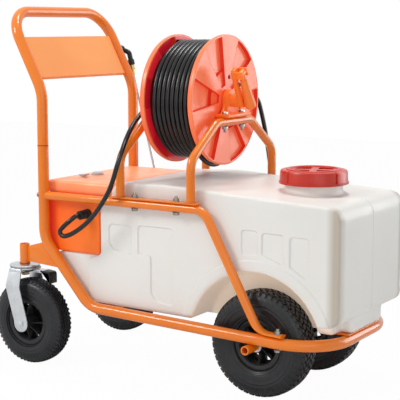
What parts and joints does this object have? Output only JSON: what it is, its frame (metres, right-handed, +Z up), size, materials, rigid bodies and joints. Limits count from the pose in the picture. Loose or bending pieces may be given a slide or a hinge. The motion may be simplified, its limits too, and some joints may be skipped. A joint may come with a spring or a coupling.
{
  "type": "wheeled sprayer cart",
  "caption": "Push sprayer cart with tube frame, moulded tank, screw lid, hose reel with folding crank, pump box, lance, fixed wheels and braked swivel casters.",
  "frame": {"origin": "middle of the footprint's bounding box on the ground plane, free hose stretches left out", "axes": "+X the way the cart is pushed (tank nose), -Y its right-hand side, +Z up"},
  "size_m": [0.991, 0.514, 0.9308],
  "materials": {
    "painted_tube": "gloss powder coat",
    "orange_plastic": "moulded, light grain",
    "lid_plastic": "moulded",
    "tank_plastic": "natural, slightly translucent",
    "black_plastic": "moulded",
    "hose_rubber": "ribbed, satin",
    "tyre": "matt",
    "rim_plastic": "satin",
    "zinc": "zinc plated",
    "brass": "turned",
    "grey_plastic": "moulded"
  },
  "bodies": {
    "cart": {"main_frame": "painted_tube", "handle_tube": "painted_tube", "handle_plate": "painted_tube", "upper_rail_right": "painted_tube", "upper_rail_left": "painted_tube", "arch_base_right": "painted_tube", "arch_base_left": "painted_tube", "reel_arch_front": "painted_tube", "reel_arch_rear": "painted_tube", "front_axle": "painted_tube", "tank_rest_front": "painted_tube", "tank_rest_rear": "painted_tube", "caster_bracket_right": "painted_tube", "caster_bracket_left": "painted_tube", "caster_race_right": "zinc", "caster_race_left": "zinc", "tank": "tank_plastic", "pump_box": "orange_plastic", "battery": "grey_plastic", "pump": "black_plastic", "bearing_front": "orange_plastic", "bearing_rear": "orange_plastic", "swivel_inlet": "black_plastic", "outlet_connector": "black_plastic", "lance_holder": "painted_tube", "feed_hose": "hose_rubber", "delivery_hose": "hose_rubber"},
    "wheel_front_right": {"tyre_front_right": "tyre", "rim_front_right": "rim_plastic"},
    "wheel_front_left": {"tyre_front_left": "tyre", "rim_front_left": "rim_plastic"},
    "fork_right": {"caster_fork_right": "zinc", "caster_axle_right": "zinc"},
    "fork_left": {"caster_fork_left": "zinc", "caster_axle_left": "zinc"},
    "wheel_caster_right": {"tyre_caster_right": "tyre", "rim_caster_right": "rim_plastic"},
    "wheel_caster_left": {"tyre_caster_left": "tyre", "rim_caster_left": "rim_plastic"},
    "brake_right": {"brake_lever_right": "zinc"},
    "brake_left": {"brake_lever_left": "zinc"},
    "reel": {"reel_disc_front": "orange_plastic", "reel_disc_rear": "orange_plastic", "reel_drum": "orange_plastic", "hose_core": "hose_rubber", "hose_winding": "hose_rubber", "reel_shaft": "orange_plastic", "crank_arm": "orange_plastic"},
    "grip": {"crank_grip": "orange_plastic"},
    "seal": {"lid_seal": "black_plastic"},
    "filler_lid": {"tank_lid": "lid_plastic"},
    "box_lid": {"pump_box_lid": "orange_plastic"},
    "rocker": {"power_switch": "black_plastic"},
    "dial": {"pressure_dial": "grey_plastic"},
    "lance": {"lance_wand": "zinc", "lance_fitting": "brass", "nozzle_body": "black_plastic", "spray_gun": "black_plastic"},
    "cap": {"nozzle_cap": "black_plastic"},
    "trigger": {"gun_trigger": "black_plastic"}
  },
  "joints": [
    {"name": "front_wheel_spin_right", "type": "hinge", "parent": "cart", "child": "wheel_front_right", "pos_m": [0.275, -0.134, 0.13], "axis": [0, 1, 0], "continuous": true},
    {"name": "caster_swivel_right", "type": "hinge", "parent": "cart", "child": "fork_right", "pos_m": [-0.4058, -0.2, 0.2552], "axis": [0, 0, 1], "continuous": true},
    {"name": "caster_spin_right", "type": "hinge", "parent": "fork_right", "child": "wheel_caster_right", "pos_m": [-0.3813, -0.2, 0.113], "axis": [0, 1, 0], "continuous": true},
    {"name": "brake_press_right", "type": "hinge", "parent": "fork_right", "child": "brake_right", "pos_m": [-0.361, -0.2, 0.2478], "axis": [0, 1, 0], "range_deg": [0, 12]},
    {"name": "front_wheel_spin_left", "type": "hinge", "parent": "cart", "child": "wheel_front_left", "pos_m": [0.275, 0.134, 0.13], "axis": [0, 1, 0], "continuous": true},
    {"name": "caster_swivel_left", "type": "hinge", "parent": "cart", "child": "fork_left", "pos_m": [-0.4058, 0.2, 0.2552], "axis": [0, 0, 1], "continuous": true},
    {"name": "caster_spin_left", "type": "hinge", "parent": "fork_left", "child": "wheel_caster_left", "pos_m": [-0.3813, 0.2, 0.113], "axis": [0, 1, 0], "continuous": true},
    {"name": "brake_press_left", "type": "hinge", "parent": "fork_left", "child": "brake_left", "pos_m": [-0.361, 0.2, 0.2478], "axis": [0, 1, 0], "range_deg": [0, 12]},
    {"name": "reel_spin", "type": "hinge", "parent": "cart", "child": "reel", "pos_m": [0.0125, 0, 0.6965], "axis": [1, 0, 0], "continuous": true},
    {"name": "crank_grip_fold", "type": "hinge", "parent": "reel", "child": "grip", "pos_m": [0.156, -0.03662, 0.76537], "axis": [0, -0.8829, -0.4695], "range_deg": [0, 90]},
    {"name": "lid_lift", "type": "slide", "parent": "cart", "child": "seal", "axis": [0, 0, 1], "range_m": [0, 0.06]},
    {"name": "lid_turn", "type": "hinge", "parent": "seal", "child": "filler_lid", "pos_m": [0.3365, 0, 0.5045], "axis": [0, 0, 1], "continuous": true},
    {"name": "box_lid_open", "type": "hinge", "parent": "cart", "child": "box_lid", "pos_m": [-0.3405, 0, 0.4549], "axis": [0, -1, 0], "range_deg": [0, 70]},
    {"name": "switch_rock", "type": "hinge", "parent": "box_lid", "child": "rocker", "pos_m": [-0.292, -0.09, 0.491], "axis": [0, 1, 0], "range_deg": [0, 11]},
    {"name": "pressure_turn", "type": "hinge", "parent": "box_lid", "child": "dial", "pos_m": [-0.292, -0.03, 0.487], "axis": [0, 0, 1], "range_deg": [0, 270]},
    {"name": "lance_lift_off", "type": "slide", "parent": "cart", "child": "lance", "axis": [0, 1, 0], "range_m": [0, 0.15]},
    {"name": "nozzle_turn", "type": "hinge", "parent": "lance", "child": "cap", "pos_m": [-0.39054, 0.22641, 0.81266], "axis": [-0.93, -0.1162, 0.3487], "range_deg": [0, 270]},
    {"name": "trigger_pull", "type": "hinge", "parent": "lance", "child": "trigger", "pos_m": [-0.24765, 0.229, 0.28803], "axis": [0, -1, 0], "range_deg": [0, 6], "stiffness_Nm_per_rad": 2}
  ]
}
